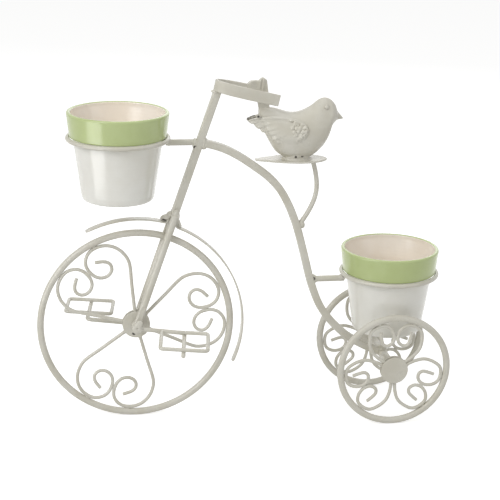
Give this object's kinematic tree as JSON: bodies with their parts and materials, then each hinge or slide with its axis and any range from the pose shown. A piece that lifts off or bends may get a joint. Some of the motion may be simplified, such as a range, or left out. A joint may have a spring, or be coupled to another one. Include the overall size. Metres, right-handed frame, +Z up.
{
  "type": "tricycle planter",
  "caption": "Painted steel plant stand shaped like an old tricycle, with scrolled wheels, a bird on the saddle and lift-out glazed pots hung in rings at the front and rear.",
  "frame": {"origin": "on the ground under the middle of the bounding box", "axes": "+X towards the rear of the tricycle, the front wheel at -X; +Y towards its right side; +Z up"},
  "size_m": [0.435, 0.1598, 0.3673],
  "materials": {
    "paint": "satin cream-grey paint over welded steel",
    "glaze": "gloss glaze: leaf-green collar, white body, cream inside"
  },
  "bodies": {
    "frame": {"stem": "paint", "left_fork_leg": "paint", "right_fork_leg": "paint", "handlebar": "paint", "front_fender": "paint", "rear_fender": "paint", "backbone": "paint", "rear_axle": "paint", "front_pot_ring": "paint", "rear_pot_ring": "paint", "front_pot_arm": "paint", "rear_pot_arm": "paint", "saddle": "paint", "saddle_post": "paint", "bird_body": "paint", "bird_tail": "paint", "bird_left_wing": "paint", "bird_right_wing": "paint", "bird_left_eye": "paint", "bird_right_eye": "paint"},
    "front_wheel": {"front_rim": "paint", "front_scroll_1": "paint", "front_scroll_2": "paint", "front_scroll_3": "paint", "front_scroll_4": "paint", "front_scroll_5": "paint", "front_scroll_6": "paint", "front_left_hub_plate": "paint", "front_right_hub_plate": "paint", "front_axle": "paint", "left_crank": "paint", "right_crank": "paint", "left_pedal": "paint", "right_pedal": "paint"},
    "left_rear_wheel": {"left_rear_rim": "paint", "left_rear_scroll_1": "paint", "left_rear_scroll_2": "paint", "left_rear_scroll_3": "paint", "left_rear_scroll_4": "paint", "left_rear_scroll_5": "paint", "left_rear_scroll_6": "paint", "left_rear_hub_plate": "paint", "left_rear_hub_cover": "paint"},
    "right_rear_wheel": {"right_rear_rim": "paint", "right_rear_scroll_1": "paint", "right_rear_scroll_2": "paint", "right_rear_scroll_3": "paint", "right_rear_scroll_4": "paint", "right_rear_scroll_5": "paint", "right_rear_scroll_6": "paint", "right_rear_hub_plate": "paint", "right_rear_hub_cover": "paint"},
    "front_pot": {"front_pot": "glaze"},
    "rear_pot": {"rear_pot": "glaze"}
  },
  "joints": [
    {"name": "front_wheel_spin", "type": "hinge", "parent": "frame", "child": "front_wheel", "pos_m": [-0.1135, 0, 0.104], "axis": [0, 1, 0], "continuous": true},
    {"name": "left_rear_wheel_spin", "type": "hinge", "parent": "frame", "child": "left_rear_wheel", "pos_m": [0.156, -0.0535, 0.0615], "axis": [0, 1, 0], "continuous": true},
    {"name": "right_rear_wheel_spin", "type": "hinge", "parent": "frame", "child": "right_rear_wheel", "pos_m": [0.156, 0.0535, 0.0615], "axis": [0, 1, 0], "continuous": true},
    {"name": "front_pot_lift", "type": "slide", "parent": "frame", "child": "front_pot", "axis": [0, 0, 1], "range_m": [0, 0.12]},
    {"name": "rear_pot_lift", "type": "slide", "parent": "frame", "child": "rear_pot", "axis": [0, 0, 1], "range_m": [0, 0.12]}
  ]
}
